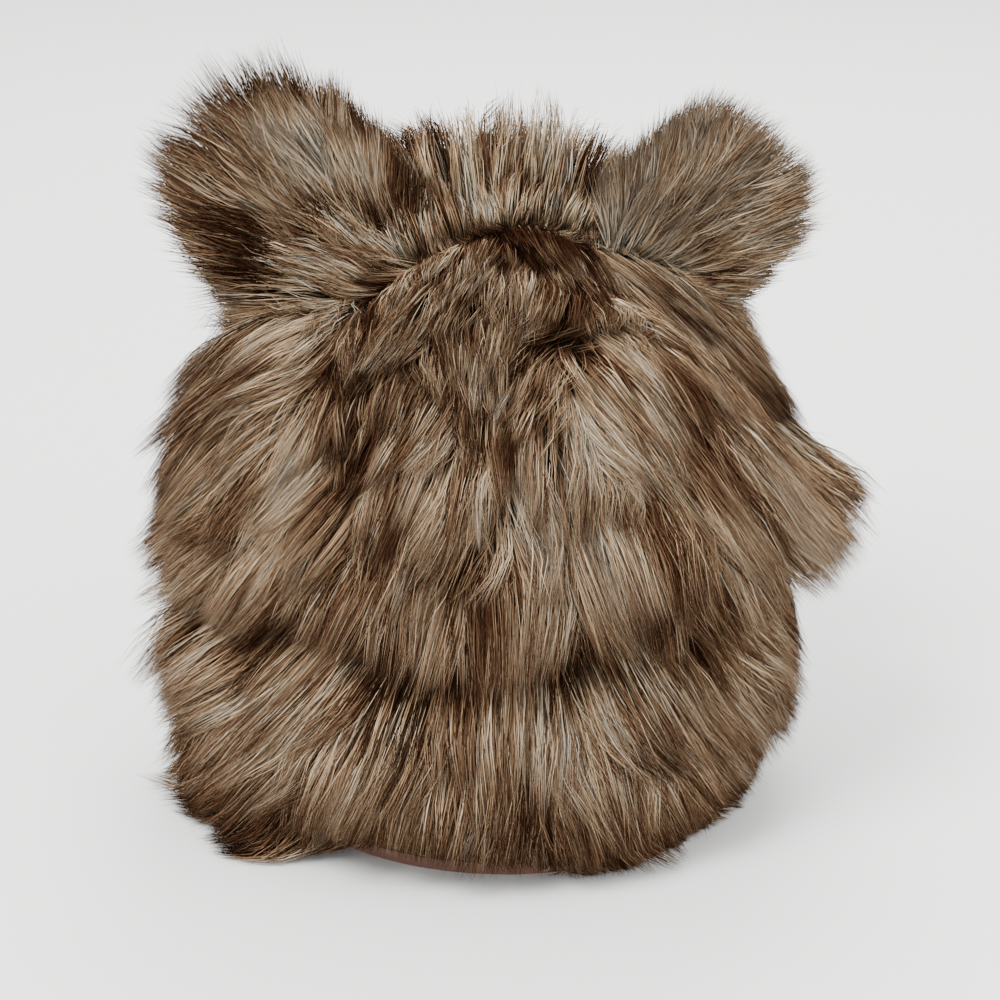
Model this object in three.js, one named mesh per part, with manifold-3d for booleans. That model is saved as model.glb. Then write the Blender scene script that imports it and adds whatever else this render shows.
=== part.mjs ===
// A warm hat in the form of an animal's head, in long-pile faux fur: a crown of two panels that meet in a
// seam from ear to ear, a fur cuff round the brow, two round ears and a smooth brown lining.
// Millimetres, +Z up. The brow faces -Y, and the origin is the middle of the rim, on the surface below it.
import * as THREE from "three";
import { mergeVertices } from "three/addons/utils/BufferGeometryUtils.js";
import Module from "manifold-3d";

const wasm = await Module();
wasm.setup();

// The hollow for the head, measured at the lining's inner face: 57 cm round, 205 mm deep
const HALF_WIDTH = 87;
const HALF_DEPTH = 94;
const WALL_HEIGHT = 96;
const DOME_HEIGHT = 109;
const RIM_DRAW = 0.04; // share by which the rim is narrower than the wall above it
const RIM_DRAW_HEIGHT = 70;
const SHOULDER = 0.55; // how much squarer the dome is from side to side than from front to back

// The layers, from the head outwards
const GAP = 0.4;
const LINING = 1.8;
const HEM = 3.4;
const HEM_HEIGHT = 5;
const CLOTH = 2.8; // knitted backing of the fur
const CLOTH_IN = LINING + GAP;
const CLOTH_OUT = CLOTH_IN + CLOTH;
const UNDERFUR = 19; // dense short fibres above the backing
const UNDERFUR_AT_SEAM = 5;
const SEAM_VALLEY = 18; // distance over which the underfur fades out towards a seam
const UNDERFUR_AT_HEM = 9;
const FULL_UNDERFUR_HEIGHT = 40;
const PARTING_DROP = 40; // how far above the upright wall the parting over the top ends, at the ears

// The cuff's seam, higher over the brow than at the nape, and the slope of the parting between the fur that
// overhangs it from the crown and the cuff's own
const CUFF_SEAM = 95;
const CUFF_TILT = 8; // degrees
const PARTING_SLOPE = 0.5;

// Locks of long fibres: each stands for a patch of this area, and a closer row lies along each lower edge
const PATCH = 870;
const FRINGE = 24;
const CROWN_FRINGE_ABOVE_SEAM = 7;
const CROWN_LOCKS_ABOVE_SEAM = 18;
const CUFF_LOCKS_BELOW_SEAM = 8;
const CUFF_FRINGE_HEIGHT = 14;
const CROWN_LOW = 60; // height from which the crown's panels are drawn, before they are cut at the parting
const GOLDEN_TURN = Math.PI * (3 - Math.sqrt(5));
const ROOT_SINK = 7; // how far below the underfur's face a lock begins
const LOCK_HALF_WIDTH = 13.5;
const LOCK_RIDGE = 6.5;
const SWAY = 0.24;
const SIDEWAYS_FAN = 38; // degrees from straight down to the way the pile lies at the sides
const FAN_FROM_BROW = 0.7; // how much more it fans out before the ears than behind them
const FORWARD_FAN = 1.5;
const FLOOR_SOFTNESS = 12; // locks that would reach below this height flatten towards the floor

// How the locks change with the height of their roots: length, and the share of it that stands off the hat
const LOCKS_BY_HEIGHT = [
  { height: 0, long: 24, rise: 0.5 },
  { height: 30, long: 40, rise: 0.53 },
  { height: 70, long: 50, rise: 0.49 },
  { height: 150, long: 52, rise: 0.46 },
  { height: 205, long: 44, rise: 0.5 },
];
const STAND_BEHIND = 0.6; // how much more the pile stands up just behind the parting over the top
const STAND_REACH = 34;
const STAND_HEIGHT = { none: 165, full: 195 };
const TOP_FACING = { from: 0.3, to: 0.8 }; // how upward the cloth faces where the pile behind turns outward
const LENGTH_SPREAD = 0.24; // from the shortest to the longest lock, as a share of the length
const RISE_SPREAD = 0.2;
// The cuff's fur stands off on the left and lies close on the right, with less underfur
const CUFF_STAND = { left: 1.06, right: 0.4 };
const CUFF_UNDERFUR_RIGHT = 0.55;
// Where the cuff's fur is short and close over the brow, so that the lining's hem shows
const BROW_GAP = { from: -0.62 * Math.PI, to: -0.48 * Math.PI, soft: 0.06 * Math.PI, left: 0.3 };
const LOW_FUR = { full: 20, none: 60 }; // heights between which that stops to count
const SHORT_END = 4; // height at which the short fur over the brow ends
const SHORTEST_LOCK = 6;

// Where the pile lies closer to the hat, or stands fuller, than elsewhere: a line on the head, how far from it
// that reaches, and the shares of rise, underfur and length that are left on the line
const PLACES = [
  { from: [34, -18, 197], to: [70, -12, 160], reach: 26, rise: 0.2, underfur: 0.4, long: 0.82 },
  { from: [58, -66, 10], to: [84, -25, 10], reach: 34, rise: 0.25, underfur: 0.4, long: 0.85 },
  { from: [76, -12, 142], to: [82, -12, 122], reach: 22, rise: 1.1, underfur: 1, long: 1.07 },
  { from: [-72, -37, 132], to: [-77, -37, 112], reach: 20, rise: 0.96, underfur: 1, long: 0.93 },
  { from: [-50, -75, 8], to: [-75, -45, 8], reach: 26, rise: 1.2, underfur: 1, long: 1.35 },
];

// Where the pile parts over the top, from the left ear to the right: it wanders forward of the seam
const TOP_PARTING = [
  { across: -70, forward: 0 },
  { across: -54, forward: 24 },
  { across: -42, forward: 30 },
  { across: -21, forward: 22 },
  { across: 8, forward: 6 },
  { across: 43, forward: 7 },
  { across: 60, forward: 0 },
];

// A lock's sections from root to tip, as shares of its length, width and thickness
const LOCK_SECTIONS = [
  { along: 0, width: 0.75, thick: 1 },
  { along: 0.38, width: 1, thick: 1 },
  { along: 0.74, width: 0.64, thick: 0.75 },
];

// The ears: half discs, hollow to the front, whose feet stand in a slot of the ear-to-ear seam
const EAR_HALF_WIDTH = 31;
const EAR_HEIGHT = 50;
const EAR_FOOT = 26;
const EAR_THICK = 17;
const EAR_CUP = 13;
const EAR_LOCK = 28;
const EAR_FAN = 0.5; // how far below the foot the ears' fur seems to fan out from, as a share of the height
// The ears' places from the middle of the hat, their size, how they lean and turn, and how their fur is swept
// outward
const EARS = [
  { name: "ear_left", side: -1, reach: 56, size: 1, lean: 21, turn: 12, sweep: 0.6 },
  { name: "ear_right", side: 1, reach: 52, size: 0.88, lean: 29, turn: 26, sweep: 0.35 },
];
// Locks of an ear: place across and up as shares of the half disc, face (-1 front, 1 back, 0 rim) and size
const EAR_LOCKS = [
  { across: -0.5, up: 0.25, face: -1, size: 0.9 },
  { across: 0.5, up: 0.25, face: -1, size: 0.9 },
  { across: 0, up: 0.45, face: -1, size: 0.9 },
  { across: -0.5, up: 0.25, face: 1, size: 1.05 },
  { across: 0.5, up: 0.25, face: 1, size: 1.05 },
  { across: 0, up: 0.5, face: 1, size: 1.05 },
  { across: -0.9, up: 0.05, face: 0, size: 0.8 },
  { across: -0.88, up: 0.4, face: 0, size: 1.1 },
  { across: -0.76, up: 0.7, face: 0, size: 1 },
  { across: -0.4, up: 0.86, face: 0, size: 1.15 },
  { across: 0, up: 0.9, face: 0, size: 1.05 },
  { across: 0.4, up: 0.86, face: 0, size: 1.1 },
  { across: 0.76, up: 0.7, face: 0, size: 1.15 },
  { across: 0.88, up: 0.4, face: 0, size: 1 },
  { across: 0.9, up: 0.05, face: 0, size: 0.9 },
];

// Facets
const AROUND = 26;
const DOME_ROWS = 6;
const WALL_HEIGHTS = [26, 50, 74];

const fade = (low, high, x) => THREE.MathUtils.smoothstep(x, low, high);
const chance = (k, kind) => {
  const wild = Math.sin(k * 12.9898 + kind * 78.233) * 43758.5453;
  return wild - Math.floor(wild);
};

// The share of the way from rim to top that is upright wall, as measured along the surface
const DOME_LENGTH = ((Math.PI / 2) * (DOME_HEIGHT + (HALF_WIDTH + HALF_DEPTH) / 2)) / 2;
const UPRIGHT = WALL_HEIGHT / (WALL_HEIGHT + DOME_LENGTH);

const riseAt = (height) => {
  const turn = Math.asin(Math.min(Math.max((height - WALL_HEIGHT) / DOME_HEIGHT, 0), 1));
  return (Math.min(height / WALL_HEIGHT, 1) * UPRIGHT) + (turn / (Math.PI / 2)) * (1 - UPRIGHT);
};

// A point of the lining's inner face: an angle from +X towards +Y, and the share of the way up
function skin(angle, rise) {
  const height = Math.min(rise / UPRIGHT, 1) * WALL_HEIGHT;
  let reach = 1 - RIM_DRAW * (1 - fade(0, RIM_DRAW_HEIGHT, height));
  let z = height;
  if (rise > UPRIGHT) {
    const turn = ((rise - UPRIGHT) / (1 - UPRIGHT)) * (Math.PI / 2);
    const square = 2 / (2 + SHOULDER * Math.cos(angle) ** 2);
    reach = Math.max(Math.cos(turn), 0) ** square;
    z += DOME_HEIGHT * Math.sin(turn) ** square;
  }
  return new THREE.Vector3(HALF_WIDTH * reach * Math.cos(angle), HALF_DEPTH * reach * Math.sin(angle), z);
}

function outward(angle, rise) {
  const step = 0.002;
  if (rise > 1 - 2 * step) return new THREE.Vector3(0, 0, 1);
  const low = Math.max(rise - step, 0);
  const up = skin(angle, rise + step).sub(skin(angle, low));
  const along = skin(angle + step, rise).sub(skin(angle - step, rise));
  const normal = along.cross(up);
  if (rise <= riseAt(HEM_HEIGHT)) normal.z = 0;
  return normal.normalize();
}

const wall = (angle, rise, out) => skin(angle, rise).addScaledVector(outward(angle, rise), out);
const mix = (a, b, share) => a + (b - a) * share;

// A column of a table, read between its rows
function between(table, key, at, column) {
  const above = table.findIndex((row) => row[key] > at);
  if (above < 0) return table[table.length - 1][column];
  if (above === 0) return table[0][column];
  const [a, b] = [table[above - 1], table[above]];
  return mix(a[column], b[column], (at - a[key]) / (b[key] - a[key]));
}

const behindParting = (p) => p.y + between(TOP_PARTING, "across", p.x, "forward");
const seamHeight = (y) => CUFF_SEAM - y * Math.tan(THREE.MathUtils.degToRad(CUFF_TILT));

// How close the cuff's fur lies: 1, and less over the part of the brow where the hem shows
function brow(angle) {
  const turned = Math.atan2(Math.sin(angle), Math.cos(angle));
  const inside = Math.min(
    fade(BROW_GAP.from - BROW_GAP.soft, BROW_GAP.from, turned),
    1 - fade(BROW_GAP.to, BROW_GAP.to + BROW_GAP.soft, turned),
  );
  return mix(1, BROW_GAP.left, inside);
}

const towardsRight = (angle) => (1 + Math.cos(angle)) / 2;

// The share of a column of PLACES that is left at a point of the head
function placed(p, column) {
  return PLACES.reduce((left, row) => {
    const line = new THREE.Line3(new THREE.Vector3(...row.from), new THREE.Vector3(...row.to));
    const far = line.closestPointToPoint(p, true, new THREE.Vector3()).distanceTo(p);
    return left * mix(1, row[column], Math.exp(-((far / row.reach) ** 2)));
  }, 1);
}

// How thick the underfur is: it thins towards the parting over the top and the cuff's seam, and on the cuff
// it is thinner to the right and over the brow
function underfur(angle, rise) {
  const p = skin(angle, rise);
  const fromTop = Math.abs(behindParting(p)) + Math.max(WALL_HEIGHT + PARTING_DROP - p.z, 0);
  const fromCuffSeam = Math.abs(p.z - seamHeight(p.y));
  const full = Math.min(fade(0, SEAM_VALLEY, fromTop), fade(0, SEAM_VALLEY, fromCuffSeam));
  const deepest = mix(UNDERFUR_AT_HEM, UNDERFUR, fade(0, FULL_UNDERFUR_HEIGHT, p.z));
  const onCuff = p.z < seamHeight(p.y) ? mix(1, CUFF_UNDERFUR_RIGHT, towardsRight(angle)) : 1;
  const overBrow = mix(brow(angle), 1, fade(0, FULL_UNDERFUR_HEIGHT, p.z));
  return mix(UNDERFUR_AT_SEAM, deepest * onCuff * overBrow * placed(p, "underfur"), full);
}

// A closed body through a row of rings: an end ring is closed by a fan round its middle, unless it is a point
function loft(rings, joined = false) {
  const points = rings.flat();
  const firsts = [];
  rings.reduce((sum, ring) => (firsts.push(sum), sum + ring.length), 0);
  const faces = [];
  const last = rings.length - (joined ? 0 : 1);
  for (let r = 0; r < last; r++) {
    const next = (r + 1) % rings.length;
    const [n, m] = [rings[r].length, rings[next].length];
    for (let k = 0; k < Math.max(n, m); k++) {
      const a = firsts[r] + (k % n);
      const b = firsts[r] + ((k + 1) % n);
      const c = firsts[next] + ((k + 1) % m);
      const d = firsts[next] + (k % m);
      if (n > 1) faces.push([a, b, m > 1 ? c : d]);
      if (m > 1) faces.push([a, c, d]);
    }
  }
  const close = (ring, first, turned) => {
    if (ring.length < 2) return;
    const middle = points.length;
    points.push(ring.reduce((sum, p) => sum.add(p), new THREE.Vector3()).divideScalar(ring.length));
    ring.forEach((_, k) => {
      const edge = [first + k, first + ((k + 1) % ring.length)];
      faces.push(turned ? [edge[1], edge[0], middle] : [edge[0], edge[1], middle]);
    });
  };
  if (!joined) {
    close(rings[0], firsts[0], true);
    close(rings[rings.length - 1], firsts[rings.length - 1], false);
  }
  const volume = faces.reduce((sum, [a, b, c]) => sum + points[a].dot(points[b].clone().cross(points[c])), 0);
  if (volume < 0) faces.forEach((face) => face.reverse());
  return new THREE.BufferGeometry().setFromPoints(points).setIndex(faces.flat());
}

function solid(geometry) {
  const bare = geometry.clone();
  bare.deleteAttribute("normal");
  bare.deleteAttribute("uv");
  const merged = mergeVertices(bare, 1e-4);
  return new wasm.Manifold(
    new wasm.Mesh({
      numProp: 3,
      vertProperties: new Float32Array(merged.attributes.position.array),
      triVerts: new Uint32Array(merged.index.array),
    }),
  );
}

function geometryOf(body) {
  const mesh = body.getMesh();
  const made = new THREE.BufferGeometry();
  made.setAttribute("position", new THREE.BufferAttribute(new Float32Array(mesh.vertProperties), 3));
  made.setIndex(new THREE.BufferAttribute(new Uint32Array(mesh.triVerts), 1));
  made.computeVertexNormals();
  return made;
}

const ring = (rise, out) =>
  Array.from({ length: AROUND }, (_, k) => {
    const angle = (2 * Math.PI * (k + 0.5)) / AROUND;
    return wall(angle, rise, typeof out === "function" ? out(angle, rise) : out);
  });

// The rows of facets from a low edge to just under the top
function rows(low) {
  const domes = Array.from({ length: DOME_ROWS }, (_, k) => UPRIGHT + ((1 - UPRIGHT) * k) / DOME_ROWS);
  return [low, ...WALL_HEIGHTS.map(riseAt).filter((rise) => rise > low), ...domes];
}

// A shell over the whole head from a low edge up, between two distances from the lining's inner face
function shell(low, inside, outside) {
  const rises = rows(low);
  const at = (out) => (typeof out === "function" ? out(0, 1) : out);
  return loft([
    [wall(0, 1, at(outside))],
    ...[...rises].reverse().map((rise) => ring(rise, outside)),
    ...rises.map((rise) => ring(rise, inside)),
    [wall(0, 1, at(inside))],
  ]);
}

const dome = (out) => loft([ring(-0.05, out), ...rows(0).map((rise) => ring(rise, out)), [wall(0, 1, out)]]);

// The way the pile lies: forward or back over the top, then down the hat, and from the brow's middle backward
function lay(p, normal) {
  const behind = behindParting(p) > 0;
  const over = (behind ? FORWARD_FAN : -FORWARD_FAN) * Math.max(normal.z, 0);
  const down = new THREE.Vector3(0, over, -1).projectOnPlane(normal).normalize();
  const fan = SIDEWAYS_FAN * (p.x / HALF_WIDTH) * (1 - FAN_FROM_BROW * (p.y / HALF_DEPTH));
  const turned = behind ? 1 - 2 * fade(TOP_FACING.from, TOP_FACING.to, normal.z) : 1;
  return down.applyAxisAngle(normal, THREE.MathUtils.degToRad(fan * turned));
}

// Fur that would reach the floor lies down on it
const settled = (p) => {
  if (p.z < FLOOR_SOFTNESS) p.z = FLOOR_SOFTNESS * Math.exp((p.z - FLOOR_SOFTNESS) / FLOOR_SOFTNESS);
  return p;
};

// One lock: a ridged tongue that leaves its root, bends down along the lay and ends in a point
function lock({ root, normal, way, long, rise, sway, size = 1 }, grow = 0) {
  const side = new THREE.Vector3().crossVectors(normal, way).normalize();
  const place = (t) =>
    root
      .clone()
      .addScaledVector(way, long * (1 - rise * 0.35) * t * (0.55 + 0.45 * t))
      .addScaledVector(normal, long * rise * t * (1.5 - 0.5 * t))
      .addScaledVector(side, long * sway * t * t);
  const sections = LOCK_SECTIONS.map(({ along, width, thick }) => {
    const middle = place(along > 0 ? along : (-2 * grow) / long);
    const heading = place(along + 0.05).sub(place(along)).normalize();
    const up = new THREE.Vector3().crossVectors(heading, side).normalize();
    if (up.dot(normal) < 0) up.negate();
    const across = new THREE.Vector3().crossVectors(up, heading).normalize();
    const half = LOCK_HALF_WIDTH * size * width + 5 * grow;
    middle.addScaledVector(up, -grow);
    return [
      middle.clone().addScaledVector(across, -half),
      middle.clone().addScaledVector(up, LOCK_RIDGE * size * thick + 3 * grow),
      middle.clone().addScaledVector(across, half),
    ].map(settled);
  });
  return loft([...sections, [settled(place(1 + (3 * grow) / long))]]);
}

// Roots spread evenly over a band of the hat, one to each patch, in a golden spiral from the low edge up
function roots(low, high, patch) {
  const found = [];
  const step = 1e-4;
  let area = 0;
  for (let rise = low; rise < high; rise += step) {
    const round = skin(0, rise).x + skin(Math.PI / 2, rise).y;
    area += Math.PI * round * step * (WALL_HEIGHT / UPRIGHT);
    if (area > patch) {
      area -= patch;
      found.push({ angle: found.length * GOLDEN_TURN, rise });
    }
  }
  return found;
}

// A closer row of roots, along the lower edge of the crown or the cuff
const fringe = (heightAt) =>
  Array.from({ length: FRINGE }, (_, k) => {
    const angle = (2 * Math.PI * (k + 0.5 * chance(k, 5))) / FRINGE;
    return { angle, rise: riseAt(heightAt(HALF_DEPTH * Math.sin(angle))) };
  });

function hatLock({ angle, rise }, k) {
  const p = skin(angle, rise);
  const normal = outward(angle, rise);
  const out = CLOTH_OUT + Math.max(underfur(angle, rise) - ROOT_SINK, 1);
  const back = behindParting(p);
  const high = fade(STAND_HEIGHT.none, STAND_HEIGHT.full, p.z);
  const behind = back > 0 ? Math.exp(-((back / STAND_REACH) ** 2)) * high : 0;
  return {
    root: wall(angle, rise, out),
    normal,
    way: lay(p, normal),
    long:
      between(LOCKS_BY_HEIGHT, "height", p.z, "long") *
      (1 + LENGTH_SPREAD * (chance(k, 10) - 0.5)) *
      placed(p, "long"),
    rise:
      placed(p, "rise") *
      between(LOCKS_BY_HEIGHT, "height", p.z, "rise") *
      (1 + RISE_SPREAD * (chance(k, 110) - 0.5)) *
      (1 + STAND_BEHIND * behind),
    sway: SWAY * (2 * chance(k, 3) - 1),
  };
}

// Where the ears stand: the middle of the foot on the seam, and the frame in which an ear is drawn
function earFrame({ side, reach, size, lean, turn }) {
  const angle = side > 0 ? 0 : Math.PI;
  let rise = UPRIGHT;
  while (Math.abs(skin(angle, rise).x) > reach) rise += 0.001;
  const foot = wall(angle, rise, CLOTH_OUT);
  return new THREE.Matrix4()
    .makeTranslation(foot)
    .multiply(new THREE.Matrix4().makeRotationY(THREE.MathUtils.degToRad(side * lean)))
    .multiply(new THREE.Matrix4().makeRotationZ(THREE.MathUtils.degToRad(side * turn)))
    .multiply(new THREE.Matrix4().makeScale(size, size, size));
}

// A point of an ear's middle surface, as shares of its half width and height
function earPoint(across, up) {
  const half = EAR_HALF_WIDTH * Math.sqrt(Math.max(1 - Math.max(up, 0) ** 2.6, 0));
  const back = EAR_CUP * (across * across + 0.5 * up * up - 0.4);
  return new THREE.Vector3(half * across, -back, EAR_HEIGHT * up);
}

function earCore(grow) {
  const count = 4;
  const section = (up) => {
    const thick = (EAR_THICK / 2) * (1 - 0.35 * Math.max(up, 0)) + 2 * grow;
    const wide = 1 + (4 * grow) / EAR_HALF_WIDTH;
    const face = (way) =>
      Array.from({ length: count + 1 }, (_, k) => {
        const across = (2 * k) / count - 1;
        const bulge = way * thick * (1 - across ** 4 * 0.999);
        return earPoint(across * wide, up).add(new THREE.Vector3(0, bulge, 0));
      });
    return [...face(-1), ...face(1).reverse().slice(1, -1)];
  };
  const low = -(EAR_FOOT + 2 * grow) / EAR_HEIGHT;
  return loft([low, 0, 0.3, 0.55, 0.78, 0.93].map(section).concat([[earPoint(0, 1 + grow / EAR_HEIGHT)]]));
}

function earLock({ across, up, face, size }, k, sweep) {
  const root = earPoint(across, up);
  const swept = EAR_HALF_WIDTH * (across + sweep);
  const out = new THREE.Vector3(swept, 0, EAR_HEIGHT * (up + EAR_FAN)).normalize();
  const normal = face ? new THREE.Vector3(0, face, 0) : new THREE.Vector3(0, k % 2 ? 1 : -1, 0);
  const way = out.clone();
  way.y = face ? 0 : -0.15 * normal.y;
  return {
    root: root.addScaledVector(normal, face ? EAR_THICK * 0.15 : 0),
    normal,
    way: way.normalize(),
    long: EAR_LOCK * size,
    rise: face ? 0.42 : 0.18,
    sway: SWAY * (2 * chance(k, 4) - 1),
    size: 0.72 * size,
  };
}

const joined = (bodies) => wasm.Manifold.union(bodies);
const largest = (body) => body.decompose().sort((a, b) => b.volume() - a.volume())[0];

// The surface between the crown's overhang and the cuff, as a solid below it
function belowParting(shift) {
  const wide = 300;
  const at = (r) => CUFF_SEAM + shift - PARTING_SLOPE * (r - HALF_WIDTH - CLOTH_OUT);
  const inner = HALF_WIDTH - 20;
  const profile = [[0, -400], [wide, -400], [wide, at(wide)], [inner, at(inner)], [0, at(inner)]];
  const lathe = new THREE.LatheGeometry(profile.map(([r, z]) => new THREE.Vector2(r, z)), AROUND * 2);
  return solid(lathe.rotateX(Math.PI / 2).rotateX(THREE.MathUtils.degToRad(-CUFF_TILT)));
}

const half = (side, grow) =>
  solid(new THREE.BoxGeometry(600, 300, 800).translate(0, side * (150 + GAP / 2 - grow), 0));

const overSeam = (p) => p.z - seamHeight(p.y);
const aboveSeam = ({ angle, rise }) => overSeam(skin(angle, rise)) > CROWN_LOCKS_ABOVE_SEAM;
const belowSeam = ({ angle, rise }) => overSeam(skin(angle, rise)) < -CUFF_LOCKS_BELOW_SEAM;
const crownLocks = [
  ...fringe((y) => seamHeight(y) + CROWN_FRINGE_ABOVE_SEAM),
  ...roots(riseAt(CROWN_LOW), 0.985, PATCH).filter(aboveSeam),
].map(hatLock);
const cuffRoots = roots(riseAt(26), riseAt(120), PATCH).filter(belowSeam);
const cuffLocks = [...fringe(() => CUFF_FRINGE_HEIGHT), ...cuffRoots].map((row, k) => {
  const made = hatLock(row, k);
  const { z } = skin(row.angle, row.rise);
  const close = mix(brow(row.angle), 1, fade(LOW_FUR.full, LOW_FUR.none, z));
  made.rise *= mix(CUFF_STAND.left, CUFF_STAND.right, towardsRight(row.angle)) * close;
  const shown = (1 - brow(row.angle)) / (1 - BROW_GAP.left);
  made.long = mix(made.long, Math.min(made.long, Math.max(z - SHORT_END, SHORTEST_LOCK)), shown);
  return made;
});

const crownBase = (grow) =>
  solid(shell(riseAt(CROWN_LOW), CLOTH_IN, (angle, rise) => CLOTH_OUT + underfur(angle, rise) + grow));

// One panel of the crown, before or behind the ear-to-ear seam, with the locks that are rooted in it
function panel(side, grow) {
  const own = crownLocks.filter(({ root }) => root.y * side > 0);
  return joined([crownBase(grow).intersect(half(side, grow)), ...own.map((row) => solid(lock(row, grow)))]);
}

function ear({ frame, side, sweep }, grow) {
  const core = solid(earCore(grow).applyMatrix4(frame));
  const shapes = EAR_LOCKS.map((row, k) => earLock(row, k, sweep * side));
  const locks = shapes.map((row) => solid(lock(row, grow).applyMatrix4(frame)));
  return { core, whole: joined([core, ...locks]) };
}

const ears = EARS.map((row) => ({ ...row, frame: earFrame(row) }));
const cloth = solid(dome(CLOTH_OUT));
const clothClear = solid(dome(CLOTH_OUT + GAP));
const slots = joined(ears.map((row) => ear(row, GAP).core.subtract(cloth)));
const underCrown = belowParting(GAP / 2);
const inTheWay = joined([crownBase(GAP), panel(-1, GAP), panel(1, GAP)]);

const bodies = {
  crown_front: largest(panel(-1, 0).subtract(underCrown).subtract(slots)),
  crown_back: largest(panel(1, 0).subtract(panel(-1, GAP)).subtract(underCrown).subtract(slots)),
};
ears.forEach((row) => {
  const { core, whole } = ear(row, 0);
  bodies[row.name] = largest(joined([whole.subtract(inTheWay), core]).subtract(clothClear));
});

// The cuff: a band of fur cloth from the hem up to its seam
const band = [HEM_HEIGHT + GAP, ...WALL_HEIGHTS, WALL_HEIGHT, WALL_HEIGHT + 16].map(riseAt);
const cuffBase = loft(
  [
    ...[...band].reverse().map((rise) => ring(rise, CLOTH_IN)),
    ...band.map((rise) => ring(rise, (angle, at) => CLOTH_OUT + underfur(angle, at))),
  ],
  true,
);
bodies.cuff = largest(
  joined([solid(cuffBase), ...cuffLocks.map((row) => solid(lock(row)))]).intersect(belowParting(-GAP / 2)),
);

const hemmed = (angle, rise) => (rise < riseAt(HEM_HEIGHT) - 1e-9 ? HEM : LINING);
const liningRises = [0, riseAt(HEM_HEIGHT) - 1e-6, ...rows(riseAt(HEM_HEIGHT))];
bodies.lining = solid(
  loft([
    [wall(0, 1, 0)],
    ...[...liningRises].reverse().map((rise) => ring(rise, 0)),
    ...liningRises.map((rise) => ring(rise, hemmed)),
    [wall(0, 1, LINING)],
  ]),
);

const fur = new THREE.MeshStandardMaterial({ color: "#8b7560", roughness: 0.9, metalness: 0 });
const earFur = new THREE.MeshStandardMaterial({ color: "#7d6f61", roughness: 0.9, metalness: 0 });
const satin = new THREE.MeshStandardMaterial({ color: "#6b4a3f", roughness: 0.55, metalness: 0 });
const finishes = {
  crown_front: fur,
  crown_back: fur,
  cuff: fur,
  ear_left: earFur,
  ear_right: earFur,
  lining: satin,
};

const hat = new THREE.Group();
for (const [name, body] of Object.entries(bodies)) {
  const mesh = new THREE.Mesh(geometryOf(body), finishes[name]);
  mesh.name = name;
  hat.add(mesh);
}
export default hat;
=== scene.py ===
import math

import bmesh
import bpy
import numpy as np
from mathutils import Matrix, Vector, kdtree


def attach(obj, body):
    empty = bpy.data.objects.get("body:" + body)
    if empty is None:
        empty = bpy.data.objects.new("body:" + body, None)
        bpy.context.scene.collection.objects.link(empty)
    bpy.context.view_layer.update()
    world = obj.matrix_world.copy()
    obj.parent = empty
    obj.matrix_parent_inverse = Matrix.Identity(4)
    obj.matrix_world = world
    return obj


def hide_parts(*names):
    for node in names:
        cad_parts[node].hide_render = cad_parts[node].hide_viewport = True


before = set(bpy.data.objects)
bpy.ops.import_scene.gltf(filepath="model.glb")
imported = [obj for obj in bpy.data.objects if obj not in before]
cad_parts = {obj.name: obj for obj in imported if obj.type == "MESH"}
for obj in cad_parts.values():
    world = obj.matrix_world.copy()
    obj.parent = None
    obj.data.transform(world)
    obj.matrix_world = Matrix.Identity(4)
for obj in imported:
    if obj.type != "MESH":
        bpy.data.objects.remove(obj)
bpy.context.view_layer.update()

# The lining: a smooth bag of brown brushed polyester tricot, sewn from two halves that meet in a seam from
# ear to ear. Its lower edge is turned under and stitched to the fur as a hem 5 mm high, on which the hat
# stands.
HALF_WIDTH = 0.087
HALF_DEPTH = 0.094
WALL_HEIGHT = 0.096
DOME_HEIGHT = 0.109
RIM_DRAW = 0.04
RIM_DRAW_HEIGHT = 0.070
SHOULDER = 0.55
LINING = 0.0018
STEP = 0.002
DOME_LENGTH = math.pi / 4 * (DOME_HEIGHT + (HALF_WIDTH + HALF_DEPTH) / 2)
UPRIGHT = WALL_HEIGHT / (WALL_HEIGHT + DOME_LENGTH)


def fade(low, high, x):
    t = np.clip((x - low) / (high - low), 0, 1)
    return t * t * (3 - 2 * t)


def unit(v):
    return v / np.maximum(np.linalg.norm(v, axis=-1, keepdims=True), 1e-12)


def skin(angle, rise):
    """Places on the lining's inner face, from an angle round the head and the share of the way up."""
    height = np.minimum(rise / UPRIGHT, 1) * WALL_HEIGHT
    turn = np.clip((rise - UPRIGHT) / (1 - UPRIGHT), 0, 1) * math.pi / 2
    square = 2 / (2 + SHOULDER * np.cos(angle) ** 2)
    reach = 1 - RIM_DRAW * (1 - fade(0, RIM_DRAW_HEIGHT, height))
    reach = np.where(turn > 0, np.maximum(np.cos(turn), 0) ** square, reach)
    z = height + DOME_HEIGHT * np.sin(turn) ** square
    return np.stack([HALF_WIDTH * reach * np.cos(angle), HALF_DEPTH * reach * np.sin(angle), z], -1)


def outward(angle, rise):
    """The way out of the head at each place, straight up on the very top."""
    up = skin(angle, np.minimum(rise + STEP, 1)) - skin(angle, np.maximum(rise - STEP, 0))
    along = skin(angle + STEP, rise) - skin(angle - STEP, rise)
    normal = unit(np.cross(along, up))
    top = (np.asarray(rise) > 1 - 2 * STEP)[..., None]
    return np.where(top, [0.0, 0.0, 1.0], normal)


def wall(angle, rise, out):
    """Places at a distance out of the lining's inner face."""
    return skin(angle, rise) + outward(angle, rise) * np.asarray(out)[..., None]


def rise_at(height):
    """The share of the way up at which a height lies."""
    turn = np.arcsin(np.clip((height - WALL_HEIGHT) / DOME_HEIGHT, 0, 1))
    return np.minimum(height / WALL_HEIGHT, 1) * UPRIGHT + turn / (math.pi / 2) * (1 - UPRIGHT)


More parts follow.
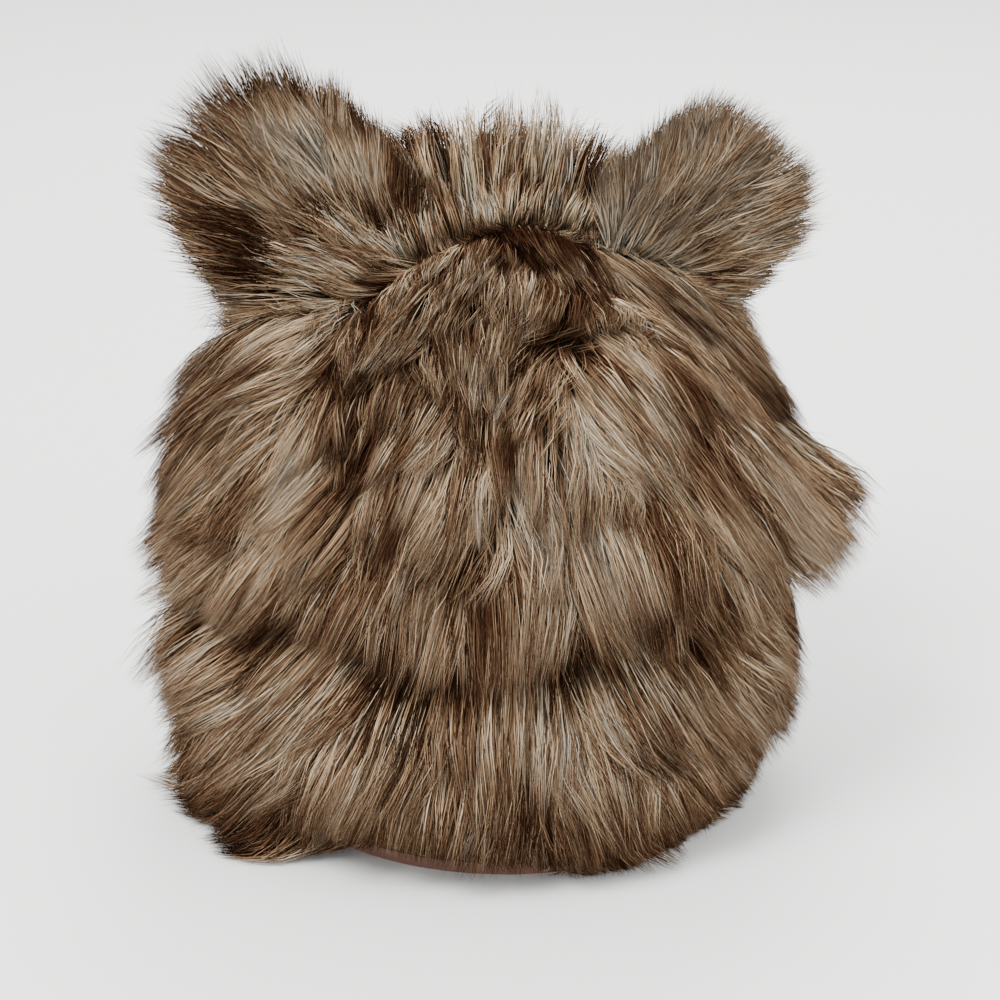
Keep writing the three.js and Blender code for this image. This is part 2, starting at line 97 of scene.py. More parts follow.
def colour(code):
    """A hex colour as linear red, green, blue and alpha."""
    parts = [int(code[i : i + 2], 16) / 255 for i in (1, 3, 5)]
    return [p / 12.92 if p <= 0.04045 else ((p + 0.055) / 1.055) ** 2.4 for p in parts] + [1.0]


def node(tree, kind, links=(), **settings):
    """Adds a node, sets its properties or sockets, and links its inputs."""
    made = tree.nodes.new(kind)
    for name, value in settings.items():
        if name.startswith("socket_"):
            made.inputs[name[7:].replace("_", " ")].default_value = value
        else:
            setattr(made, name, value)
    for name, source in dict(links).items():
        tree.links.new(source, made.inputs[name])
    return made


def blank_material(name):
    made = bpy.data.materials.new(name)
    made.use_nodes = True
    made.node_tree.nodes.clear()
    return made, made.node_tree


def ramp(tree, factor, stops):
    made = node(tree, "ShaderNodeValToRGB", {"Fac": factor})
    elements = made.color_ramp.elements
    while len(elements) < len(stops):
        elements.new(0.5)
    for element, (at, code) in zip(elements, stops):
        element.position, element.color = at, colour(code)
    return made.outputs["Color"]


def cut_behind(bm, place, facing, within):
    """Takes away what lies behind a plane."""
    geom = bm.verts[:] + bm.edges[:] + bm.faces[:]
    bmesh.ops.bisect_plane(bm, geom=geom, dist=within, plane_co=place, plane_no=facing, clear_inner=True)


def shell_from_sphere(bm, around, rows, out, low, high=1.0):
    """A dome of the head's form: a unit sphere's upper half, laid over the head at a distance."""
    bmesh.ops.create_uvsphere(bm, u_segments=around, v_segments=rows * 2, radius=1)
    cut_behind(bm, (0, 0, 0), (0, 0, 1), 1e-5)
    spots = np.array([v.co for v in bm.verts])
    angle = np.arctan2(spots[:, 1], spots[:, 0])
    up = np.arcsin(np.clip(spots[:, 2], 0, 1)) / (math.pi / 2)
    rise = low + (high - low) * up
    for v, place in zip(bm.verts, wall(angle, rise, out(angle, rise))):
        v.co = place


def finished(bm, name, material):
    mesh = bpy.data.meshes.new(name)
    bm.to_mesh(mesh)
    bm.free()
    mesh.materials.append(material)
    mesh.shade_smooth()
    piece = bpy.data.objects.new(name, mesh)
    bpy.context.scene.collection.objects.link(piece)
    return piece


# brushed polyester tricot: faint bands about 5.7 mm apart, left by the brushing, in a nap with a grain of
# 1.1 mm that catches the light at an angle, and paler where it is worn, in patches of about 45 mm. A wave
# texture of scale 1 has 20 bands in 2 pi.
BAND, NAP, WEAR = 0.00565, 0.00111, 0.0455
tricot, tree = blank_material("brushed_tricot_brown")
place = node(tree, "ShaderNodeTexCoord").outputs["Object"]
bands = node(
    tree,
    "ShaderNodeTexWave",
    {"Vector": place},
    bands_direction="Z",
    socket_Scale=2 * math.pi / 20 / BAND,
    socket_Distortion=1.5,
)
nap = node(tree, "ShaderNodeTexNoise", {"Vector": place}, socket_Scale=1 / NAP, socket_Detail=3)
worn = node(tree, "ShaderNodeTexNoise", {"Vector": place}, socket_Scale=1 / WEAR, socket_Detail=4)
tint = ramp(tree, worn.outputs["Fac"], [(0.3, "#6a483c"), (0.75, "#84604f")])
height = node(tree, "ShaderNodeMath", {0: bands.outputs["Fac"], 1: nap.outputs["Fac"]}, operation="ADD")
bump = node(
    tree, "ShaderNodeBump", {"Height": height.outputs[0]}, socket_Strength=0.35, socket_Distance=0.0003
)
surface = node(
    tree,
    "ShaderNodeBsdfPrincipled",
    {"Base Color": tint, "Normal": bump.outputs["Normal"]},
    socket_Roughness=0.62,
    socket_Sheen_Weight=0.35,
    socket_Sheen_Roughness=0.4,
)
node(tree, "ShaderNodeOutputMaterial", {"Surface": surface.outputs["BSDF"]})

bm = bmesh.new()
shell_from_sphere(bm, 78, 28, lambda angle, rise: np.zeros_like(rise), 0.0)
bmesh.ops.recalc_face_normals(bm, faces=bm.faces[:])
bmesh.ops.solidify(bm, geom=bm.faces[:], thickness=-LINING)
# the turned hem, a rounded bead round the rim: how far out and up its corners are, in millimetres. It is spun
# round a circle of radius 1 and then laid on the rim.
MILLIMETRE = 0.001
BEAD = [(0.4, 0.0), (2.9, 0.0), (3.4, 0.6), (3.4, 4.2), (2.8, 5.0), (1.7, 5.0), (0.1, 4.4), (0.0, 0.5)]
ring = [bm.verts.new((1 + out * MILLIMETRE, 0, up * MILLIMETRE)) for out, up in BEAD]
edges = [bm.edges.new((ring[k], ring[(k + 1) % len(ring)])) for k in range(len(ring))]
before = set(bm.verts) - set(ring)
bmesh.ops.spin(
    bm, geom=ring + edges, axis=(0, 0, 1), cent=(0, 0, 0), angle=2 * math.pi, steps=120, use_merge=True
)
for v in bm.verts:
    if v not in before:
        angle = math.atan2(v.co.y, v.co.x)
        out = math.hypot(v.co.x, v.co.y) - 1
        flat = Vector((math.cos(angle) / HALF_WIDTH, math.sin(angle) / HALF_DEPTH, 0)).normalized()
        v.co = Vector(skin(angle, float(rise_at(v.co.z)))) + flat * out
bmesh.ops.recalc_face_normals(bm, faces=bm.faces[:])
lining = finished(bm, "lining_bag", tricot)
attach(lining, "root")
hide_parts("lining")

# The crown's front panel: faux fur of acrylic fibres, a dense short underfur and a long pile of about 50 mm,
# knitted into a backing cloth. The pile lies down and forward from the ear-to-ear seam, parts at two darts
# and a whorl, and hangs over the cuff's seam.

# the cloth and its underfur: how far out each is, thinner along the seams and the hem and over the brow
CLOTH_OUT = 0.0050
UNDERFUR = 0.019
UNDERFUR_AT_SEAM = 0.005
UNDERFUR_AT_HEM = 0.009
SEAM_VALLEY = 0.018
TOP_VALLEY_FROM = 0.040
CUFF_SEAM = 0.095
CUFF_TILT = math.radians(8)
CUFF_UNDERFUR_RIGHT = 0.55
FULL_UNDERFUR_HEIGHT = 0.040
BROW_FROM, BROW_TO, BROW_SOFT, BROW_LEFT = -0.66 * math.pi, -0.48 * math.pi, 0.06 * math.pi, 0.30
ROOT_SINK, ROOT_LEAST = 0.007, 0.001
# the solids' locks: the patch of cloth that each stands on, and how many fringe a panel's lower edge
PATCH = 870e-6
FRINGE = 24
GOLDEN_TURN = math.pi * (3 - math.sqrt(5))
SWAY = 0.24
# the pile's lie: fanned to the sides and forward, and how long and how far out it is at five heights
SIDEWAYS_FAN = math.radians(38)
FAN_FROM_BROW = 0.7
FORWARD_FAN = 1.5
FAN_TURNS = (0.3, 0.8)
BEND = 0.35
FLOOR_SOFTNESS = 0.012
PILE_HEIGHTS = [0.0, 0.030, 0.070, 0.150, 0.205]
PILE_LONG = [0.024, 0.040, 0.050, 0.052, 0.044]
PILE_RISE = [0.50, 0.53, 0.49, 0.46, 0.50]
LONG_SPREAD, RISE_SPREAD, SWAY_SPREAD = (-0.24, 0.2), (-0.45, 0.4), 0.17
RAGGED, RAGGED_SIZE = 0.11, 0.020
# behind the parting on top it stands up, and in the parting it is short
STAND_BEHIND = 0.6
STAND_REACH = 0.034
TOP_FROM, TOP_TO = 0.165, 0.195
SHORT_IN_PARTING, SHORT_REACH, SHORT_FROM, SHORT_TO = 0.5, 0.008, 0.178, 0.196


def table(columns, rows):
    return [dict(zip(columns.split(), row)) for row in rows]


# where the pile lies closer, or stands fuller, than elsewhere: a line on the head, how far from it that
# reaches, and the shares of rise, underfur and length that are left on the line
PLACES = table(
    "from to reach rise underfur long",
    [
        ((0.034, -0.022, 0.197), (0.067, -0.024, 0.162), 0.024, 0.25, 0.45, 0.82),
        ((0.052, 0.014, 0.185), (0.074, 0.008, 0.150), 0.024, 0.50, 0.55, 0.85),
        ((0.058, -0.066, 0.010), (0.084, -0.025, 0.010), 0.034, 0.25, 0.40, 0.85),
        ((0.076, -0.012, 0.147), (0.082, -0.012, 0.125), 0.024, 1.80, 1.00, 1.00),
        ((-0.072, -0.037, 0.132), (-0.077, -0.037, 0.112), 0.020, 0.96, 1.00, 0.93),
        ((-0.050, -0.075, 0.008), (-0.075, -0.045, 0.008), 0.026, 1.20, 1.00, 1.35),
        ((0.026, 0.012, 0.214), (0.044, 0.010, 0.206), 0.013, 1.25, 1.00, 1.40),
        ((-0.074, -0.038, 0.110), (-0.078, -0.038, 0.098), 0.013, 1.20, 1.00, 1.30),
        ((-0.045, -0.085, 0.006), (-0.060, -0.070, 0.006), 0.012, 1.00, 1.00, 1.40),
        ((0.035, -0.098, 0.006), (0.055, -0.085, 0.006), 0.012, 1.00, 1.00, 1.45),
    ],
)
# where the pile parts over the top: places across the hat, and how far forward of the seam
TOP_PARTING = [
    (-0.070, 0.0),
    (-0.054, 0.024),
    (-0.042, 0.030),
    (-0.021, 0.022),
    (0.008, 0.006),
    (0.043, 0.007),
    (0.060, 0.0),
]
# where the pile parts: from, to, how far it is pushed aside, how strongly, and the share of its length left
PARTINGS = table(
    "from to reach push left",
    [
        ((-0.042, -0.038, 0.187), (-0.051, -0.057, 0.161), 0.010, 0.90, 0.85),
        ((0.022, -0.054, 0.183), (0.018, -0.060, 0.176), 0.014, 0.90, 0.72),
        ((0.012, -0.069, 0.169), (0.012, -0.078, 0.155), 0.005, 0.45, 0.95),
        ((0.002, -0.079, 0.155), (-0.008, -0.089, 0.129), 0.007, 0.50, 0.95),
        ((-0.014, -0.060, 0.178), (-0.036, -0.071, 0.154), 0.024, 0.00, 0.62),
        ((-0.005, -0.030, 0.200), (-0.045, -0.033, 0.189), 0.016, 0.00, 0.60),
    ],
)
# where the pile's outside has a tone of its own: painted shade, dark in a fold, crevice, hollow or split, or
# the fur's own pale streaks, reddish brown and brown tips. Each row gives a line on the outside, how far from
# it that reaches, which tone, and how much of it is there
STREAKS_AND_SHADE = table(
    "from to reach tone share",
    [
        # painted shade: the dark crevice on top
        ((-0.003, -0.042, 0.218), (0.012, -0.051, 0.218), 0.011, 0.00, 1.00),
        ((0.013, -0.052, 0.218), (0.025, -0.041, 0.214), 0.011, 0.00, 0.95),
        # painted shade in the hollows beside it and in the left dart
        ((-0.013, -0.008, 0.221), (0.002, -0.003, 0.220), 0.006, 0.98, 0.70),
        ((0.016, 0.006, 0.219), (0.029, 0.000, 0.219), 0.006, 0.98, 0.70),
        ((0.034, -0.019, 0.218), (0.044, -0.016, 0.207), 0.008, 0.98, 0.70),
        ((-0.026, -0.054, 0.212), (-0.018, -0.057, 0.214), 0.006, 0.04, 0.80),
        ((-0.045, -0.037, 0.202), (-0.039, -0.048, 0.204), 0.005, 0.04, 0.80),
        ((-0.045, -0.057, 0.199), (-0.045, -0.082, 0.195), 0.006, 0.03, 0.85),
        ((-0.060, -0.048, 0.194), (-0.062, -0.060, 0.191), 0.006, 0.98, 0.60),
        # painted shade at the left dart's lower end
        ((-0.060, -0.075, 0.181), (-0.057, -0.087, 0.177), 0.005, 0.08, 0.75),
        # painted shade under the left ear
        ((-0.098, -0.011, 0.200), (-0.087, -0.012, 0.196), 0.006, 0.08, 0.60),
        # painted shade in the whorl
        ((0.020, -0.078, 0.195), (0.026, -0.082, 0.185), 0.010, 0.00, 0.95),
        ((0.024, -0.073, 0.202), (0.032, -0.073, 0.199), 0.006, 0.04, 0.75),
        ((0.027, -0.088, 0.183), (0.033, -0.098, 0.176), 0.007, 0.98, 0.60),
        # painted shade in the split below it
        ((0.012, -0.097, 0.181), (0.012, -0.107, 0.169), 0.004, 0.02, 0.90),
        ((0.001, -0.114, 0.167), (-0.005, -0.119, 0.159), 0.004, 0.06, 0.80),
        ((-0.005, -0.120, 0.156), (-0.009, -0.124, 0.148), 0.004, 0.97, 0.60),
        # reddish brown on the right
        ((0.058, -0.077, 0.185), (0.064, -0.085, 0.175), 0.008, 0.13, 0.75),
        ((0.064, -0.085, 0.175), (0.069, -0.103, 0.151), 0.009, 0.12, 0.80),
        ((0.052, -0.114, 0.140), (0.058, -0.120, 0.114), 0.009, 0.16, 0.60),
        # brown tips on the left
        ((-0.047, -0.098, 0.160), (-0.064, -0.100, 0.139), 0.008, 0.16, 0.60),
        ((-0.064, -0.100, 0.139), (-0.086, -0.097, 0.109), 0.008, 0.18, 0.50),
        ((-0.083, -0.083, 0.146), (-0.098, -0.083, 0.125), 0.006, 0.16, 0.60),
        ((-0.070, -0.069, 0.179), (-0.091, -0.067, 0.174), 0.006, 0.20, 0.50),
        ((-0.104, -0.055, 0.165), (-0.116, -0.043, 0.145), 0.007, 0.20, 0.45),
        ((-0.043, -0.120, 0.128), (-0.048, -0.122, 0.114), 0.005, 0.10, 0.55),
        # painted shade in the hollows where the crown hangs over the cuff
        ((-0.094, -0.073, 0.080), (-0.079, -0.085, 0.088), 0.006, 0.03, 0.85),
        ((-0.081, -0.097, 0.097), (-0.070, -0.095, 0.094), 0.007, 0.05, 0.75),
        ((-0.041, -0.115, 0.084), (-0.018, -0.117, 0.083), 0.006, 0.03, 0.85),
        ((-0.010, -0.124, 0.085), (0.008, -0.127, 0.085), 0.007, 0.03, 0.90),
        ((0.022, -0.112, 0.088), (0.034, -0.118, 0.094), 0.008, 0.05, 0.80),
        ((0.049, -0.120, 0.102), (0.067, -0.089, 0.081), 0.009, 0.05, 0.85),
        # dark places on the cuff
        ((-0.070, -0.106, 0.056), (-0.064, -0.109, 0.063), 0.007, 0.98, 0.55),
        ((-0.104, -0.072, 0.020), (-0.081, -0.086, 0.016), 0.010, 0.16, 0.45),
        ((0.054, -0.094, 0.012), (0.068, -0.088, 0.026), 0.012, 0.18, 0.40),
        # grey, cream and tan streaks
        ((-0.071, -0.067, 0.184), (-0.071, -0.074, 0.165), 0.007, 0.80, 0.60),
        ((-0.071, -0.074, 0.165), (-0.073, -0.093, 0.147), 0.009, 0.83, 0.90),
        ((-0.073, -0.093, 0.147), (-0.082, -0.096, 0.123), 0.009, 0.83, 0.90),
        ((-0.083, -0.094, 0.121), (-0.101, -0.073, 0.106), 0.006, 0.78, 0.60),
        ((-0.099, -0.002, 0.178), (-0.072, -0.066, 0.184), 0.010, 0.74, 0.60),
        ((-0.083, -0.069, 0.167), (-0.097, -0.064, 0.157), 0.004, 0.77, 0.60),
        ((-0.097, -0.078, 0.136), (-0.114, -0.061, 0.117), 0.006, 0.72, 0.50),
        ((-0.034, -0.110, 0.160), (-0.047, -0.108, 0.142), 0.005, 0.77, 0.50),
        ((-0.017, -0.110, 0.156), (-0.022, -0.125, 0.136), 0.005, 0.78, 0.55),
        ((-0.020, -0.123, 0.116), (-0.023, -0.126, 0.099), 0.006, 0.76, 0.55),
        ((0.003, -0.124, 0.132), (0.001, -0.126, 0.121), 0.005, 0.74, 0.45),
        ((0.017, -0.095, 0.181), (0.018, -0.105, 0.174), 0.005, 0.80, 0.70),
        ((0.028, -0.101, 0.175), (0.026, -0.111, 0.163), 0.005, 0.84, 0.70),
        ((0.034, -0.110, 0.164), (0.041, -0.114, 0.153), 0.007, 0.79, 0.70),
        ((0.031, -0.120, 0.149), (0.037, -0.117, 0.135), 0.007, 0.77, 0.60),
        ((0.031, -0.075, 0.197), (0.045, -0.080, 0.188), 0.006, 0.84, 0.65),
        ((0.051, -0.011, 0.204), (0.069, -0.015, 0.192), 0.009, 0.75, 0.60),
        ((0.073, -0.108, 0.138), (0.077, -0.109, 0.129), 0.006, 0.76, 0.50),
        ((0.084, -0.044, 0.165), (0.100, -0.068, 0.137), 0.009, 0.66, 0.45),
        ((-0.077, -0.087, 0.084), (-0.060, -0.103, 0.086), 0.007, 0.75, 0.65),
        ((-0.024, -0.117, 0.077), (-0.018, -0.122, 0.068), 0.006, 0.85, 0.65),
        ((0.018, -0.117, 0.072), (0.023, -0.117, 0.064), 0.006, 0.80, 0.60),
        ((0.075, -0.082, 0.079), (0.090, -0.066, 0.077), 0.010, 0.72, 0.60),
        # the left ear: brown tips, an olive black middle and a pale lower edge
        ((-0.097, -0.014, 0.252), (-0.093, -0.015, 0.250), 0.005, 0.12, 0.70),
        ((-0.081, -0.019, 0.260), (-0.076, -0.009, 0.260), 0.005, 0.20, 0.55),
        ((-0.089, -0.014, 0.249), (-0.074, -0.021, 0.247), 0.010, 0.97, 0.85),
        ((-0.074, -0.022, 0.248), (-0.054, -0.022, 0.238), 0.011, 1.00, 0.90),
        ((-0.066, -0.019, 0.238), (-0.084, -0.012, 0.225), 0.009, 1.00, 0.85),
        ((-0.054, -0.021, 0.237), (-0.045, -0.021, 0.236), 0.006, 0.97, 0.75),
        ((-0.115, -0.015, 0.228), (-0.092, -0.014, 0.232), 0.008, 0.72, 0.55),
        ((-0.042, 0.044, 0.237), (-0.038, -0.016, 0.236), 0.006, 0.30, 0.40),
        # the right ear: darker at its foot, its tip and its lower edge
        ((0.064, -0.021, 0.251), (0.076, -0.022, 0.247), 0.007, 0.93, 0.55),
        ((0.052, -0.022, 0.239), (0.067, -0.025, 0.242), 0.006, 0.35, 0.45),
        ((0.085, -0.005, 0.223), (0.101, -0.006, 0.222), 0.005, 0.22, 0.50),
        ((0.084, -0.005, 0.214), (0.093, -0.006, 0.217), 0.005, 0.25, 0.45),
        ((0.070, -0.007, 0.208), (0.086, -0.002, 0.201), 0.007, 0.15, 0.50),
        ((0.074, -0.003, 0.197), (0.085, 0.001, 0.189), 0.007, 0.10, 0.60),
        ((0.047, -0.027, 0.225), (0.056, -0.015, 0.210), 0.008, 0.74, 0.50),
    ],
)
# the fibres' tones on the BODY_TONES: the middle one, two slow changes by kind, strength and size, paler
# behind the parting, darker along the cuff's seam above and below it, a painted shade where the crown hangs
# over the cuff, darker towards the hem, a painted shade near the floor, and the share of their variety that a
# streak or a painted shade leaves
TONE = 0.57
TONE_DRIFTS = ((20, 0.07, 0.085), (40, 0.09, 0.035))
PALE_BEHIND = 0.12
SEAM_SHADE_OVER, SEAM_SHADE_UNDER = (0.12, 0.016), (0.30, 0.005)
HEM_SHADE, HEM_SHADE_HEIGHT = 0.27, 0.055
VARIETY_LEFT = 0.45
# how far down the crown's pile hangs over the cuff: places across the front, and heights
HANG = [
    (-0.130, 0.060),
    (-0.085, 0.094),
    (-0.066, 0.095),
    (-0.042, 0.085),
    (0.000, 0.083),
    (0.028, 0.091),
    (0.049, 0.099),
    (0.066, 0.090),
    (0.130, 0.102),
]
# how much higher it ends at the back, from where to where, and the least share of a fibre that is left
HANG_RISE, HANG_RISE_FROM, HANG_RISE_TO, LEAST_LEFT = 0.010, -0.06, 0.05, 0.35

# tufts, wisps and fibres: how wild they grow, how they hold together, how their tones differ, and how much
# darker they are at the edge of what they belong to, a painted shade in the gaps between them
WILD = (1.0, 0.8, 0.6)
HOLD = (0.5, 0.72, 0.80)
SHADES = (0.13, 0.17, 0.16)
EDGE_SHADE = (0.12, 0.20, 0.10)
HOLD_SPREAD, WIDTH_SPREAD = (0.8, 1.08), (0.7, 1.3)
# how the hold grows towards the tip, where a tuft's edge is, in mean distances from its middle, and how far
# past it still counts
HOLD_CURVE, TUFT_EDGE, PAST_EDGE = 1.2, 1.8, 1.2
# a fibre's width, how far it is rolled about its length, what it loses in width to the tip, how far up its
# tones go, how near it comes to the edges of its map, and half its width there
PILE_WIDTH, ROLL_SPREAD, TAPER, TONES_SPREAD = 0.00031, 0.45, 0.45, (0.86, 1.12)
MAP_EDGES, MAP_HALF = (0.02, 0.98), 0.006
# the share of fibres that fly away, how much they still cling, how thin and how pale they are
FLYAWAYS, LOOSE_HOLD, LOOSE_WIDTH, LOOSE_TONE = 0.05, 0.35, 0.6, 0.15

rng = np.random.default_rng(57)


def chance(k, kind):
    """A number from 0 to 1 for a count and a kind, the same in each run."""
    wild = np.sin(k * 12.9898 + kind * 78.233) * 43758.5453
    return wild - np.floor(wild)


def seam_height(y):
    """The height of the seam between crown and cuff, higher over the brow."""
    return CUFF_SEAM - y * math.tan(CUFF_TILT)


def behind_parting(p):
    """How far each place is behind the line where the pile parts over the top."""
    across, forward = zip(*TOP_PARTING)
    return p[..., 1] + np.interp(p[..., 0], across, forward)


def brow(angle):
    """The share of the fur's depth that is left over the brow, where the hem shows."""
    angle = np.arctan2(np.sin(angle), np.cos(angle))
    begun = fade(BROW_FROM - BROW_SOFT, BROW_FROM, angle)
    ended = fade(BROW_TO, BROW_TO + BROW_SOFT, angle)
    return 1 - np.minimum(begun, 1 - ended) * (1 - BROW_LEFT)


def from_line(p, row):
    """How far each place is from a row's line, and the way from the line to the place."""
    a, b = np.array(row["from"]), np.array(row["to"])
    share = np.clip((p - a) @ (b - a) / ((b - a) @ (b - a)), 0, 1)
    away = p - (a + share[..., None] * (b - a))
    return np.linalg.norm(away, axis=-1), away


def placed(p, column):
    """What the PLACES leave of a quality."""
    left = np.ones(p.shape[:-1])
    for row in PLACES:
        far, _ = from_line(p, row)
        left *= 1 + (row[column] - 1) * np.exp(-((far / row["reach"]) ** 2))
    return left


def underfur(angle, rise):
    """The underfur's depth, less in the valleys along the seams."""
    p = skin(angle, rise)
    from_top = np.abs(behind_parting(p)) + np.maximum(WALL_HEIGHT + TOP_VALLEY_FROM - p[..., 2], 0)
    from_cuff = np.abs(p[..., 2] - seam_height(p[..., 1]))
    full = np.minimum(fade(0, SEAM_VALLEY, from_top), fade(0, SEAM_VALLEY, from_cuff))
    high = fade(0, FULL_UNDERFUR_HEIGHT, p[..., 2])
    deepest = UNDERFUR_AT_HEM + (UNDERFUR - UNDERFUR_AT_HEM) * high
    right = 0.5 + 0.5 * np.cos(angle)
    on_cuff = 1 - (1 - CUFF_UNDERFUR_RIGHT) * right * (p[..., 2] < seam_height(p[..., 1]))
    over_brow = 1 - (1 - brow(angle)) * (1 - high)
    deep = deepest * on_cuff * over_brow * placed(p, "underfur")
    return UNDERFUR_AT_SEAM + (deep - UNDERFUR_AT_SEAM) * full


def lay(p, normal):
    """The way the pile lies at each place, and the share of its length that is left there."""
    behind = behind_parting(p) > 0
    over = np.where(behind, 1, -1) * FORWARD_FAN * np.maximum(normal[:, 2], 0)
    pull = np.stack([np.zeros(len(p)), over, -np.ones(len(p))], 1)
    down = unit(pull - normal * (pull * normal).sum(1)[:, None])
    fan = SIDEWAYS_FAN * p[:, 0] / HALF_WIDTH * (1 - FAN_FROM_BROW * p[:, 1] / HALF_DEPTH)
    fan = (fan * np.where(behind, 1 - 2 * fade(*FAN_TURNS, normal[:, 2]), 1))[:, None]
    way, left = down * np.cos(fan) + np.cross(normal, down) * np.sin(fan), np.ones(len(p))
    for row in PARTINGS:
        far, away = from_line(p, row)
        near = np.exp(-((far / row["reach"]) ** 2))
        way = way + unit(away) * (row["push"] * near)[:, None]
        left *= 1 - (1 - row["left"]) * near
    near = np.exp(-((behind_parting(p) / SHORT_REACH) ** 2)) * fade(SHORT_FROM, SHORT_TO, p[:, 2])
    left *= 1 - SHORT_IN_PARTING * near
    way -= normal * (way * normal).sum(1)[:, None]
    return unit(way), left


def drift(p, kind, size):
    """A slow change over the hat, about size metres from crest to crest, from -1 to 1."""
    total = np.zeros(len(p))
    for k in range(5):
        heading = np.array([chance(k, kind), chance(k, kind + 1), chance(k, kind + 2)]) - 0.5
        along = p @ (heading / np.linalg.norm(heading)) * 2 * math.pi / size
        total += np.sin(along * (0.7 + 0.15 * k) + 7 * chance(k, kind + 3))
    return total / 2.5


def tone_at(p):
    """Where each place lies on the BODY_TONES: paler behind the parting, and darker along the cuff's seam, a
    painted shade where the crown hangs over the cuff.
    """
    tone = np.full(len(p), TONE)
    for kind, strength, size in TONE_DRIFTS:
        tone += strength * drift(p, kind, size)
    tone += PALE_BEHIND * (behind_parting(p) > 0) * fade(TOP_FROM, TOP_TO, p[:, 2])
    over = p[:, 2] - seam_height(p[:, 1])
    shades = [deep * np.exp(-((over / reach) ** 2)) for deep, reach in (SEAM_SHADE_OVER, SEAM_SHADE_UNDER)]
    return tone - np.where(over > 0, *shades)


def streaked_and_shaded(tone, lines):
    """The tone along each fibre, with the streaks and painted shade that it crosses, and a painted shade that
    darkens it towards the hem.
    """
    p = lines.reshape(-1, 3)
    tone = np.repeat(tone, lines.shape[1]) - HEM_SHADE * (1 - fade(0.0, HEM_SHADE_HEIGHT, p[:, 2]))
    vary = VARIETY_LEFT * (tone - TONE)
    for row in STREAKS_AND_SHADE:
        far, _ = from_line(p, row)
        tone = tone + (row["tone"] + vary - tone) * row["share"] * np.exp(-((far / row["reach"]) ** 2))
    return tone.reshape(lines.shape[:2])


def comb(hair, stations):
    """Each fibre's line: it leaves its root, bends down along the lay and ends free."""
    t = stations[None, :, None]
    long, rise, sway = (hair[name][:, None, None] for name in ("long", "rise", "sway"))
    side = unit(np.cross(hair["normal"], hair["way"]))[:, None]
    line = hair["root"][:, None] + hair["way"][:, None] * long * (1 - BEND * rise) * t * (0.55 + 0.45 * t)
    line = line + hair["normal"][:, None] * long * rise * t * (1.5 - 0.5 * t)
    return line + side * long * sway * t * t


def settle(line):
    """Fur that would reach the floor lies down on it."""
    height = line[..., 2]
    eased = FLOOR_SOFTNESS * np.exp((height - FLOOR_SOFTNESS) / FLOOR_SOFTNESS)
    line[..., 2] = np.where(height < FLOOR_SOFTNESS, eased, height)
    return line


def growing(angle, rise, wild):
    """Fibres rooted in the underfur, at places given by angle and rise, and wild in length and lie."""
    p, normal = skin(angle, rise), outward(angle, rise)
    way, left = lay(p, normal)
    count = len(p)
    back = behind_parting(p)
    long = np.interp(p[:, 2], PILE_HEIGHTS, PILE_LONG) * left
    ragged = placed(p, "long") * (1 + RAGGED * drift(p, 80, RAGGED_SIZE))
    out = np.interp(p[:, 2], PILE_HEIGHTS, PILE_RISE) * placed(p, "rise")
    stand = STAND_BEHIND * np.exp(-((back / STAND_REACH) ** 2))
    stand = stand * fade(TOP_FROM, TOP_TO, p[:, 2]) * (back > 0)
    return {
        "skin": p,
        "root": wall(angle, rise, CLOTH_OUT + np.maximum(underfur(angle, rise) - ROOT_SINK, ROOT_LEAST)),
        "normal": normal,
        "way": way,
        "long": long * ragged * (1 + wild * rng.uniform(*LONG_SPREAD, count)),
        "rise": out * (1 + stand) * (1 + wild * rng.uniform(*RISE_SPREAD, count)),
        "sway": wild * rng.normal(0, SWAY_SPREAD, count),
    }


def scattered(count, low, high, keep):
    """Random places spread evenly over the hat between two heights, of which keep chooses."""
    rises = np.linspace(low, high, 2000)
    round_hat = skin(np.zeros(2000), rises)[:, 0] + skin(np.full(2000, math.pi / 2), rises)[:, 1]
    share = np.cumsum(round_hat) / round_hat.sum()
    angle = rng.uniform(-math.pi, math.pi, count * 3)
    rise = np.interp(rng.uniform(0, 1, count * 3), share, rises)
    kept = keep(skin(angle, rise))
    return angle[kept][:count], rise[kept][:count]


def nearest(places, guides):
    """The guide nearest to each place, and how far out in its lock the place is, about 1 at the edge."""
    tree_of = kdtree.KDTree(len(guides))
    for k, g in enumerate(guides):
        tree_of.insert(g, k)
    tree_of.balance()
    found = [tree_of.find(p) for p in places]
    far = np.array([d for _, _, d in found])
    return np.array([k for _, k, _ in found]), np.minimum(far / (TUFT_EDGE * far.mean()), PAST_EDGE) ** 2


def drawn_to(line, guide_lines, which, hold, stations):
    """Fibres that cling to the lock they belong to, more so towards the tip."""
    w = (np.asarray(hold).reshape(-1, 1) * stations**HOLD_CURVE)[:, :, None]
    return line * (1 - w) + guide_lines[which] * w


